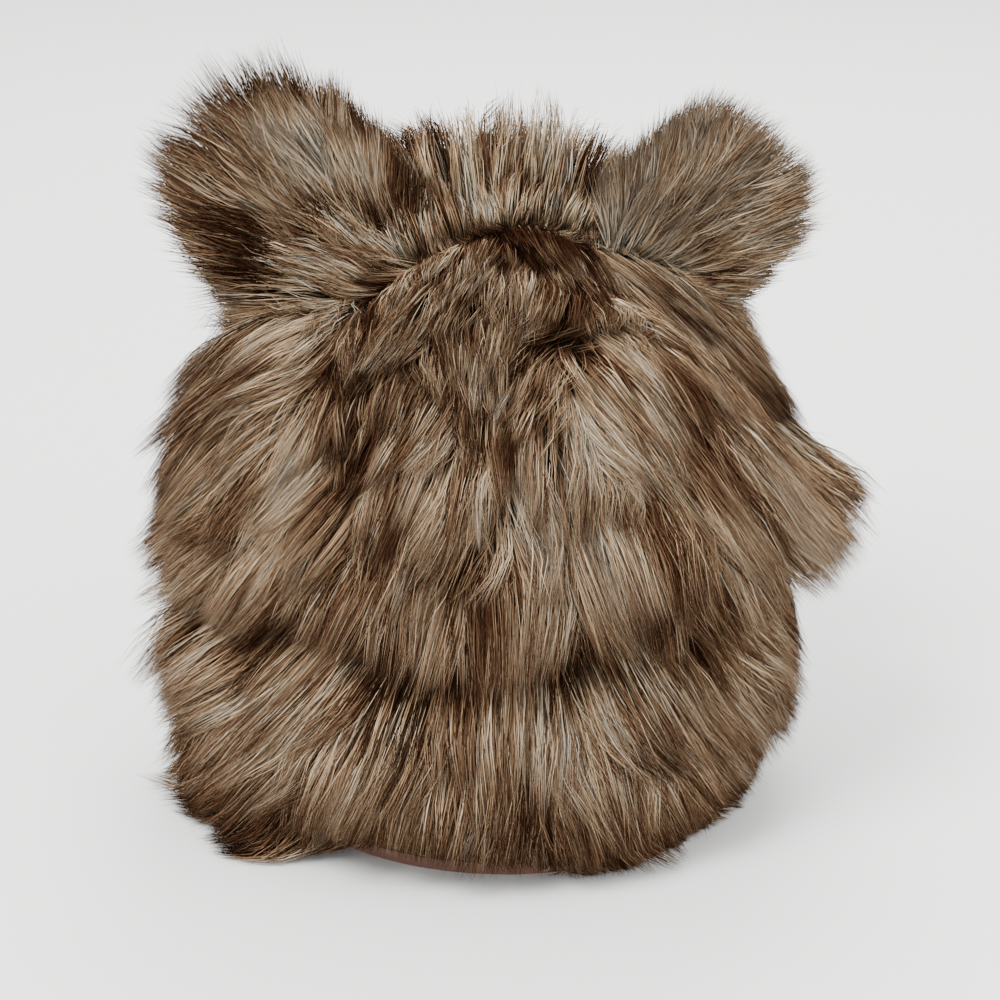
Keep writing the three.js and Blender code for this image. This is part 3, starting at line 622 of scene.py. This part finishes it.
def ribbons(name, lines, facing, tone, width, root_v=0.0):
    """One mesh of tapering flat fibres. Its map holds the tone across, and root to tip up."""
    count, stations, _ = lines.shape
    tangent = unit(np.gradient(lines, axis=1))
    across = unit(np.cross(tangent, facing[:, None]))
    roll = rng.normal(0, ROLL_SPREAD, count)[:, None, None]
    across = across * np.cos(roll) + np.cross(tangent, across) * np.sin(roll)
    t = np.linspace(0, 1, stations)
    half = (width[:, None] * (1 - TAPER * t[None] ** 2) / 2)[..., None]
    left, right = lines - across * half, lines + across * half
    pairs = stations - 1
    verts = np.empty((count, 2 * pairs + 1, 3))
    verts[:, 0 : 2 * pairs : 2] = left[:, :pairs]
    verts[:, 1 : 2 * pairs : 2] = right[:, :pairs]
    verts[:, -1] = lines[:, -1]
    quads = np.array([(2 * k, 2 * k + 1, 2 * k + 3, 2 * k + 2) for k in range(pairs - 1)]).ravel()
    loops = np.concatenate([quads, [2 * pairs - 2, 2 * pairs - 1, 2 * pairs]])
    per = 2 * pairs + 1
    index = (loops[None] + per * np.arange(count)[:, None]).ravel()
    starts_in = np.concatenate([4 * np.arange(pairs - 1), [4 * (pairs - 1)]])
    starts = (starts_in[None] + len(loops) * np.arange(count)[:, None]).ravel()
    u = np.concatenate([np.repeat(tone[:, :pairs], 2, axis=1), tone[:, -1:]], axis=1)
    u = np.clip(u, *MAP_EDGES) + np.array([-MAP_HALF, MAP_HALF] * pairs + [0.0])[None]
    up = root_v + (1 - root_v) * np.append(np.repeat(t[:pairs], 2), 1.0)
    v = np.clip(up * rng.uniform(*TONES_SPREAD, count)[:, None], 0, 1)
    spots = np.stack([u, v], -1)
    mesh = bpy.data.meshes.new(name)
    mesh.vertices.add(count * per)
    mesh.vertices.foreach_set("co", verts.astype(np.float32).ravel())
    mesh.loops.add(len(index))
    mesh.loops.foreach_set("vertex_index", index.astype(np.int32))
    mesh.polygons.add(len(starts))
    mesh.polygons.foreach_set("loop_start", starts.astype(np.int32))
    mesh.update(calc_edges=True)
    layer = mesh.uv_layers.new(name="OFBake")
    layer.data.foreach_set("uv", spots.reshape(-1, 2)[index].astype(np.float32).ravel())
    mesh.materials.append(pile_fibre)
    mesh.shade_smooth()
    piece = bpy.data.objects.new(name, mesh)
    bpy.context.scene.collection.objects.link(piece)
    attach(piece, "root")
    return piece


def cad_roots(low, high, keep):
    """The golden spiral of locks that the hat's solids have too."""
    step = 1e-4
    rises = np.arange(low, high, step)
    round_hat = skin(np.zeros_like(rises), rises)[:, 0] + skin(np.full_like(rises, math.pi / 2), rises)[:, 1]
    area = np.cumsum(math.pi * round_hat * step * WALL_HEIGHT / UPRIGHT)
    found = np.flatnonzero(np.diff(np.floor(area / PATCH), prepend=0) > 0)
    angle, rise = np.arange(len(found)) * GOLDEN_TURN, rises[found]
    kept = keep(skin(angle, rise))
    return angle[kept], rise[kept]


def fringe_roots(height_at):
    """One row of locks along a panel's lower edge."""
    k = np.arange(FRINGE)
    angle = 2 * math.pi * (k + 0.5 * chance(k, 5)) / FRINGE
    return angle, rise_at(height_at(HALF_DEPTH * np.sin(angle)))


def big_locks(angle, rise):
    """The locks of the hat's solids, with the same length and lie."""
    hair = growing(angle, rise, 0.0)
    k = np.arange(len(angle))
    hair["long"] *= 0.88 + 0.24 * chance(k, 10)
    hair["rise"] *= 0.9 + 0.2 * chance(k, 110)
    hair["sway"] = SWAY * (2 * chance(k, 3) - 1)
    return hair


def coat(name, locks, low, high, keep, counts, shape, stations=4, wide=PILE_WIDTH):
    """A panel's pile: fibres in wisps, wisps in tufts, tufts in the locks of the solids."""
    t = np.linspace(0, 1, stations)
    parent, lines, tone = locks, settle(comb(locks, t)), np.zeros(len(locks["long"]))
    for share, wild, hold, shades, edge in zip(counts, WILD, HOLD, SHADES, EDGE_SHADE):
        hair = growing(*scattered(share, low, high, keep), wild)
        shape(hair)
        which, out = nearest(hair["skin"], parent["skin"])
        # darker at the edge of its tuft or wisp: a painted shade in the gaps between them
        tone = tone[which] + rng.normal(0, shades, len(which)) - edge * out
        held = hold * rng.uniform(*HOLD_SPREAD, len(which))
        parent, guides, loose = hair, lines, rng.random(len(which)) < FLYAWAYS
        held[loose] *= LOOSE_HOLD
        lines = drawn_to(comb(hair, t), guides, which, held, t)
    lines = settle(lines)
    width = wide * rng.uniform(*WIDTH_SPREAD, len(lines)) * np.where(loose, LOOSE_WIDTH, 1)
    tone = tone_at(hair["skin"]) + tone + LOOSE_TONE * loose
    return ribbons(name, lines, hair["normal"], streaked_and_shaded(tone, lines), width)


def as_crown(hair):
    """The crown's lowest fibres end in a line over the cuff."""
    across, heights = zip(*HANG)
    tip = hair["root"] + hair["way"] * (hair["long"] * (1 - BEND * hair["rise"]))[:, None]
    tip = tip + hair["normal"] * (hair["long"] * hair["rise"])[:, None]
    lift = HANG_RISE * fade(HANG_RISE_FROM, HANG_RISE_TO, tip[:, 1])
    lowest = np.interp(tip[:, 0], across, heights) + lift
    drop = hair["root"][:, 2] - tip[:, 2]
    share = np.clip((hair["root"][:, 2] - lowest) / np.maximum(drop, 1e-4), LEAST_LEFT, 1)
    hair["long"] = hair["long"] * np.where(drop > 0, share, 1)


# acrylic pile: dull dark olive roots, a tan to cream middle and dark brown tips. It is matt, because a gloss
# turns the dark fibres grey, and the photograph's stay dark.
pile_fibre, tree = blank_material("acrylic_pile_tipped")
spot = node(tree, "ShaderNodeUVMap", uv_map="OFBake")
parts = node(tree, "ShaderNodeSeparateXYZ", {"Vector": spot.outputs["UV"]})
tone_socket, way_up = parts.outputs["X"], parts.outputs["Y"]
# from the darkest brown over tan to cream, then on to grey and to olive black. The darkest brown and the olive
# black are also the painted shade of crevices, partings and hollows
BODY_TONES = [
    (0.0, "#100b06"),
    (0.2, "#422719"),
    (0.42, "#765d46"),
    (0.62, "#a58b6c"),
    (0.78, "#c8b79d"),
    (0.86, "#a39b8c"),
    (1.0, "#1e1d18"),
]
body = ramp(tree, tone_socket, BODY_TONES)
roots_tint = ramp(tree, tone_socket, [(0.0, "#120c07"), (1.0, "#2f2a1f")])
tips_tint = ramp(tree, tone_socket, [(0.0, "#140a05"), (0.6, "#2e1b10"), (1.0, "#4a3728")])
near_root = ramp(tree, way_up, [(0.15, "#ffffff"), (0.56, "#000000")])
near_tip = ramp(tree, way_up, [(0.54, "#000000"), (1.0, "#f0f0f0")])
# a mix node of colours takes them at sockets 6 and 7 and gives its colour at 2
lower = node(tree, "ShaderNodeMix", {"Factor": near_root, 6: body, 7: roots_tint}, data_type="RGBA")
upper = node(
    tree, "ShaderNodeMix", {"Factor": near_tip, 6: lower.outputs[2], 7: tips_tint}, data_type="RGBA"
)
surface = node(
    tree,
    "ShaderNodeBsdfPrincipled",
    {"Base Color": upper.outputs[2]},
    socket_Roughness=0.7,
    socket_Specular_IOR_Level=0.0,
)
node(tree, "ShaderNodeOutputMaterial", {"Surface": surface.outputs["BSDF"]})

# dense underfur, dull olive brown with a crimp of 2 mm, seen only where the pile parts
CRIMP = 0.002
underfur_cloth, tree = blank_material("acrylic_underfur")
place = node(tree, "ShaderNodeTexCoord").outputs["Object"]
crimp = node(tree, "ShaderNodeTexNoise", {"Vector": place}, socket_Scale=1 / CRIMP, socket_Detail=5)
shade = ramp(tree, crimp.outputs["Fac"], [(0.35, "#120e0b"), (0.7, "#2f2820")])
bump = node(
    tree, "ShaderNodeBump", {"Height": crimp.outputs["Fac"]}, socket_Strength=0.8, socket_Distance=CRIMP
)
surface = node(
    tree,
    "ShaderNodeBsdfPrincipled",
    {"Base Color": shade, "Normal": bump.outputs["Normal"]},
    socket_Roughness=0.9,
)
node(tree, "ShaderNodeOutputMaterial", {"Surface": surface.outputs["BSDF"]})


# the sheet of backing and underfur: its thickness, how far it is under the pile's roots, and the gaps at its
# edges
BACKING = 0.0024
UNDER_ROOTS = 0.0015
SEAM_GAP, MIDDLE_GAP, EDGE_GAP = 0.0002, 0.0005, 0.001
# tufts and wisps on the whole crown, and how near its middle the pile goes
CROWN_TUFTS = (520, 4300)
CROWN_TOP = 0.997
# the heights where the front panel's cloth, its pile and the solids' locks begin, how far over the seam the
# fringe and the spiral of locks are, and how near the middle the spiral goes
FRONT_CLOTH_FROM, FRONT_PILE_FROM, LOCKS_FROM = 0.080, 0.078, 0.060
FRINGE_OVER, SPIRAL_OVER, SPIRAL_TOP = 0.007, 0.018, 0.985


def backing(name, low, high, keep_side, solid_node):
    """A panel's backing cloth with its underfur, as one thick closed sheet."""

    def out(angle, rise):
        return CLOTH_OUT + np.maximum(underfur(angle, rise) - ROOT_SINK - UNDER_ROOTS, SEAM_GAP)

    bm = bmesh.new()
    shell_from_sphere(bm, 96, 36, out, low, high)
    if keep_side:
        cut_behind(bm, (0, keep_side * SEAM_GAP, 0), (0, keep_side, 0), 1e-6)
    bmesh.ops.recalc_face_normals(bm, faces=bm.faces[:])
    bmesh.ops.solidify(bm, geom=bm.faces[:], thickness=BACKING)
    bmesh.ops.recalc_face_normals(bm, faces=bm.faces[:])
    piece = finished(bm, name, underfur_cloth)
    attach(piece, "root")
    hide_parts(solid_node)


def above(p):
    return p[:, 2] > seam_height(p[:, 1]) + EDGE_GAP


def in_front(p):
    return above(p) & (p[:, 1] < -MIDDLE_GAP)


backing("crown_front_backing", float(rise_at(FRONT_CLOTH_FROM)), 1.0, -1, "crown_front")

fringe = fringe_roots(lambda y: seam_height(y) + FRINGE_OVER)
low_locks = float(rise_at(LOCKS_FROM))
spiral = cad_roots(low_locks, SPIRAL_TOP, lambda p: p[:, 2] > seam_height(p[:, 1]) + SPIRAL_OVER)
crown_locks = big_locks(np.concatenate([fringe[0], spiral[0]]), np.concatenate([fringe[1], spiral[1]]))
low_crown = float(rise_at(FRONT_PILE_FROM))
# the pile, and among it guard hairs, which are finer and bend once more
for name, count, stations, wide in (
    ("crown_front_pile", 37500, 4, 0.00033),
    ("crown_front_guard", 25000, 5, 0.00027),
):
    counts = (*CROWN_TUFTS, count)
    piece = coat(name, crown_locks, low_crown, CROWN_TOP, in_front, counts, as_crown, stations, wide)
    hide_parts("crown_front")

# The crown's back panel: the same fur fabric, with its pile lying down and backward from the ear-to-ear
# seam. It is sewn to the front panel along that seam, and its pile stands up behind it.
BACK_CLOTH_FROM, BACK_PILE_FROM = 0.060, 0.066
backing("crown_back_backing", float(rise_at(BACK_CLOTH_FROM)), 1.0, 1, "crown_back")


def behind(p):
    return above(p) & (p[:, 1] > MIDDLE_GAP)


counts = (*CROWN_TUFTS, 34000)
low_crown = float(rise_at(BACK_PILE_FROM))
piece = coat("crown_back_pile", crown_locks, low_crown, CROWN_TOP, behind, counts, as_crown)
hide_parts("crown_back")

# The cuff: a band of the same fur fabric sewn on below the crown, as deep as the brow and higher over it
# than at the nape. Its pile fans out to both sides and its tips hang to the hem.
# how far out it stands at the left and the right, how much fuller the right is higher up, and the heights over
# which it gets fuller and over which the brow's close pile ends
CUFF_LEFT, CUFF_RIGHT, CUFF_FULL = 1.06, 0.40, 0.3
FULL_HEIGHTS, CLOSE_HEIGHTS = (0.035, 0.060), (0.020, 0.060)
# how ragged its lower edge is, in what size, and the heights over which that ends
RAGGED_HEM, RAGGED_HEM_SIZE, RAGGED_HEIGHTS = 0.24, 0.022, (0.02, 0.05)
# where the hem shows: the height at which the pile stops, by what share it stops lower at that place's right
# end, between which angles it goes over, and the shortest pile
SHORT_END, SHORT_END_LOWER = 0.0105, 0.7
LOWER_FROM, LOWER_TO = -0.56 * math.pi, -0.52 * math.pi
SHORTEST = 0.006
# the heights between which its cloth, its pile and the solids' locks are, the height of the fringe, and how
# far the locks keep under the seam
CUFF_CLOTH, CUFF_PILE, CUFF_LOCKS = (0.0055, 0.112), (0.007, 0.110), (0.026, 0.120)
CUFF_FRINGE, LOCKS_UNDER_SEAM = 0.014, 0.008
CUFF_TUFTS = (560, 4600)


def as_cuff(hair):
    """The cuff's fibres lie closer on the right, are ragged below and stop short where the hem shows."""
    p = hair["skin"]
    angle = np.arctan2(p[:, 1] / HALF_DEPTH, p[:, 0] / HALF_WIDTH)
    close = 1 - (1 - brow(angle)) * (1 - fade(*CLOSE_HEIGHTS, p[:, 2]))
    right = 0.5 + 0.5 * np.cos(angle)
    full = 1 + CUFF_FULL * right * fade(*FULL_HEIGHTS, p[:, 2])
    hair["rise"] = hair["rise"] * (CUFF_LEFT + (CUFF_RIGHT - CUFF_LEFT) * right) * close * full
    shown = (1 - brow(angle)) / (1 - BROW_LEFT)
    low = 1 - fade(*RAGGED_HEIGHTS, p[:, 2])
    hair["long"] = hair["long"] * (1 + RAGGED_HEM * drift(p, 90, RAGGED_HEM_SIZE) * low)
    end = SHORT_END * (1 - SHORT_END_LOWER * fade(LOWER_FROM, LOWER_TO, angle))
    short = np.minimum(hair["long"], np.maximum(p[:, 2] - end, SHORTEST))
    hair["long"] = hair["long"] * (1 - shown) + short * shown


def below(p):
    return p[:, 2] < seam_height(p[:, 1]) - EDGE_GAP


backing("cuff_backing", *(float(rise_at(height)) for height in CUFF_CLOTH), 0, "cuff")
fringe = fringe_roots(lambda y: np.full_like(y, CUFF_FRINGE))
low, high = (float(rise_at(height)) for height in CUFF_LOCKS)
spiral = cad_roots(low, high, lambda p: p[:, 2] < seam_height(p[:, 1]) - LOCKS_UNDER_SEAM)
cuff_locks = big_locks(np.concatenate([fringe[0], spiral[0]]), np.concatenate([fringe[1], spiral[1]]))
as_cuff(cuff_locks)
low, high = (float(rise_at(height)) for height in CUFF_PILE)
for name, count, keep in (
    ("cuff_pile", 36000, below),
    ("cuff_front_guard", 16000, lambda p: below(p) & (p[:, 1] < 0)),
):
    counts = (*CUFF_TUFTS, count)
    piece = coat(name, cuff_locks, low, high, keep, counts, as_cuff)
    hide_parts("cuff")

# The ears: each is two round pieces of the same fur sewn face to face and turned, hollow to the front,
# with its foot caught in the ear-to-ear seam. The pile stands out all round from the foot.
EAR_HALF_WIDTH = 0.031
EAR_HEIGHT = 0.050
EAR_CUP = 0.013
EAR_LOCK = 0.034
EAR_FAN = 0.5
EAR_WILD, EAR_HOLD = 1.3, 0.9
EAR_PILE = 0.00034
# the ear's cloth, as shares of its half width and height, and its thickness
CLOTH_ACROSS, CLOTH_DOWN, CLOTH_UP, EAR_CLOTH = 0.8, -0.4, 0.86, 0.004
# the share of fibres that root on the sewn edge, and how far from the ear's middle the roots are there and
# elsewhere
ON_EDGE, EDGE_OUT, FACE_OUT = 0.3, 0.001, 0.0035
# where the pile roots, as shares of the ear's half width and height, and how high up the sewn edge
PILE_ACROSS, PILE_UP, EDGE_UP = 0.92, (-0.05, 0.97), 0.85
# how far out it stands on the edge, on a face and by how much less at the rim, and how its fibres vary
EDGE_RISE, FACE_RISE, RIM_LESS = 0.10, 0.55, 0.30
EAR_LONG_SPREAD, EAR_RISE_SPREAD, EAR_SWAY_SPREAD = (-0.34, 0.24), (-0.6, 0.5), 0.22
# the ear's hollow: its middle, the square of its reach and by what share the pile in it is shorter
HOLLOW_UP, HOLLOW_REACH, HOLLOW_SHORTER = 0.35, 0.25, 0.15
# its longer corner: which way it is, for the ear on the right, and how wide, and its shorter lower corner
CORNER_WAY, CORNER_WIDE, LOW_CORNER_SHORTER = (0.42, 0.91), 0.07, 0.35
# each ear: the side that it is on, how far across the seam it stands and its size, how it leans and turns out
# in degrees, how far its pile is swept out, its tone, its tips' share of the painted shade at lock edges and
# its longer corner
EARS = table(
    "name side reach size lean turn sweep tone edge corner",
    [
        ("ear_left", -1, 0.056, 1.00, 21, 12, 0.60, 0.46, 1.00, 0.34),
        ("ear_right", 1, 0.052, 0.88, 29, 26, 0.35, 0.81, 0.35, 0.00),
    ],
)


def ear_place(across, up):
    """A place on the ear's middle sheet, from shares of its half width and height."""
    half = EAR_HALF_WIDTH * np.sqrt(np.maximum(1 - np.maximum(up, 0) ** 2.6, 0))
    return np.stack([half * across, -EAR_CUP * (across * across + 0.5 * up * up - 0.4), EAR_HEIGHT * up], -1)


for row in EARS:
    angle = 0.0 if row["side"] > 0 else math.pi
    climb = np.arange(UPRIGHT, 1, 0.001)
    rise = climb[np.abs(skin(np.full_like(climb, angle), climb)[:, 0]) <= row["reach"]][0]
    foot = wall(np.array([angle]), np.array([rise]), np.array([CLOTH_OUT]))[0]
    stand = (
        Matrix.Translation(Vector(foot))
        @ Matrix.Rotation(math.radians(row["side"] * row["lean"]), 4, "Y")
        @ Matrix.Rotation(math.radians(row["side"] * row["turn"]), 4, "Z")
        @ Matrix.Scale(row["size"], 4)
    )
    turn = np.array(stand.to_3x3())
    bm = bmesh.new()
    bmesh.ops.create_grid(bm, x_segments=20, y_segments=24, size=1)
    for v in bm.verts:
        up = CLOTH_DOWN + (v.co.y + 1) / 2 * (CLOTH_UP - CLOTH_DOWN)
        v.co = Vector(ear_place(v.co.x * CLOTH_ACROSS, up))
    bmesh.ops.recalc_face_normals(bm, faces=bm.faces[:])
    middle = sum(v.co.y for v in bm.verts) / len(bm.verts)
    bmesh.ops.solidify(bm, geom=bm.faces[:], thickness=EAR_CLOTH)
    moved = middle - sum(v.co.y for v in bm.verts) / len(bm.verts)
    bmesh.ops.translate(bm, verts=bm.verts[:], vec=(0, moved, 0))
    bmesh.ops.transform(bm, matrix=stand, verts=bm.verts[:])
    bmesh.ops.recalc_face_normals(bm, faces=bm.faces[:])
    core = finished(bm, row["name"] + "_backing", underfur_cloth)
    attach(core, "root")
    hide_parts(row["name"])

    t = np.linspace(0, 1, 5)

    def ear_hairs(count, wild):
        """Fibres on both faces, lying out from the foot, and more upright in the hollow."""
        across = rng.uniform(-1, 1, count)
        up = rng.uniform(*PILE_UP, count)
        face = rng.choice([-1.0, 1.0], count)
        edge = rng.random(count) < ON_EDGE
        across = np.where(edge & (up < EDGE_UP), np.sign(across), across)
        root = ear_place(across * PILE_ACROSS, up)
        root[:, 1] += face * np.where(edge, EDGE_OUT, FACE_OUT)
        normal = np.stack([np.zeros(count), face, np.zeros(count)], 1)
        swept = EAR_HALF_WIDTH * (across + row["sweep"] * row["side"])
        heading = np.stack([swept, -0.10 * face * EAR_HEIGHT, EAR_HEIGHT * (up + EAR_FAN)], 1)
        way = unit(heading - normal * (heading * normal).sum(1)[:, None])
        rim = np.maximum(np.abs(across), np.abs(up)) ** 3
        out = np.where(edge, EDGE_RISE, FACE_RISE - RIM_LESS * rim)
        inner = (face < 0) * np.exp(-((across**2 + (up - HOLLOW_UP) ** 2) / HOLLOW_REACH))
        at_corner = way @ [CORNER_WAY[0] * row["side"], 0, CORNER_WAY[1]]
        corner = 1 + row["corner"] * np.exp(-((at_corner - 1) / CORNER_WIDE) ** 2)
        corner -= LOW_CORNER_SHORTER * fade(0.3, 0.9, across * row["side"]) * (1 - fade(0.0, 0.35, up))
        vary = 1 + wild * rng.uniform(*EAR_LONG_SPREAD, count)
        return {
            "skin": np.stack([root[:, 0], root[:, 1] + face * np.where(edge, 0.002, 0.02), root[:, 2]], 1),
            "root": root,
            "normal": normal,
            "way": way,
            "long": EAR_LOCK * corner * vary * (1 - HOLLOW_SHORTER * inner),
            "rise": out * (1 + wild * rng.uniform(*EAR_RISE_SPREAD, count)),
            "sway": wild * rng.normal(0, EAR_SWAY_SPREAD, count),
        }

    parent = ear_hairs(60, 1.2)
    lines, tone = comb(parent, t), np.zeros(60)
    for count, wild, hold, shades, edge in zip((330, 2000, 11000), WILD, HOLD, SHADES, EDGE_SHADE):
        hair = ear_hairs(count, wild * EAR_WILD)
        which, out = nearest(hair["skin"], parent["skin"])
        # darker at the edge of its tuft or wisp: a painted shade in the gaps between them
        tone = tone[which] + rng.normal(0, shades, count) - row["edge"] * edge * out
        lines = drawn_to(comb(hair, t), lines, which, EAR_HOLD * hold * rng.uniform(0.75, 1.1, count), t)
        parent = hair
    lines = lines @ turn.T + np.array(stand.translation)
    facing = unit(hair["normal"] @ turn.T)
    base = row["tone"] + 0.10 * drift(lines[:, 0], 60, 0.05)
    width = EAR_PILE * rng.uniform(*WIDTH_SPREAD, len(lines))
    piece = ribbons(row["name"] + "_pile", lines, facing, streaked_and_shaded(base + tone, lines), width, root_v=0.3)
    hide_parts(row["name"])

# The studio: a plain pale floor, a soft key light from the upper left and broad fills, and the camera at the
# photograph's angle, a little above the hat's brow.
mesh = bpy.data.meshes.new("floor")
bm = bmesh.new()
bmesh.ops.create_grid(bm, x_segments=1, y_segments=1, size=4)
bm.to_mesh(mesh)
bm.free()
floor = bpy.data.objects.new("floor", mesh)
bpy.context.scene.collection.objects.link(floor)
paper, tree = blank_material("white_studio_paper")
surface = node(tree, "ShaderNodeBsdfPrincipled", socket_Base_Color=colour("#fafaf8"), socket_Roughness=0.9)
node(tree, "ShaderNodeOutputMaterial", {"Surface": surface.outputs["BSDF"]})
mesh.materials.append(paper)

world = bpy.data.worlds.new("studio")
world.use_nodes = True
world.node_tree.nodes["Background"].inputs["Color"].default_value = (1, 1, 1, 1)
world.node_tree.nodes["Background"].inputs["Strength"].default_value = 1.5
bpy.context.scene.world = world

LIGHTS = table(
    "name place size power",
    [
        ("key", (-0.7, -1.2, 1.6), 0.8, 66),
        ("fill", (1.3, -1.0, 0.9), 1.4, 20),
        ("back", (0.2, 1.3, 1.5), 1.2, 38),
    ],
)
for row in LIGHTS:
    lamp = bpy.data.lights.new(row["name"], "AREA")
    lamp.size, lamp.energy = row["size"], row["power"]
    stand = bpy.data.objects.new(row["name"], lamp)
    stand.location = row["place"]
    stand.rotation_euler = (Vector((0, 0, 0.12)) - stand.location).to_track_quat("-Z", "Y").to_euler()
    bpy.context.scene.collection.objects.link(stand)

ELEVATION = math.radians(19)
CAMERA_DISTANCE = 1.10
CAMERA_AIM = Vector((-0.002, 0, 0.1075))
camera = bpy.data.objects.new("camera", bpy.data.cameras.new("camera"))
camera.data.lens = 107
camera.data.sensor_width = 36
camera.location = CAMERA_AIM + CAMERA_DISTANCE * Vector((0, -math.cos(ELEVATION), math.sin(ELEVATION)))
camera.rotation_euler = (CAMERA_AIM - camera.location).to_track_quat("-Z", "Y").to_euler()
bpy.context.scene.collection.objects.link(camera)
bpy.context.scene.camera = camera
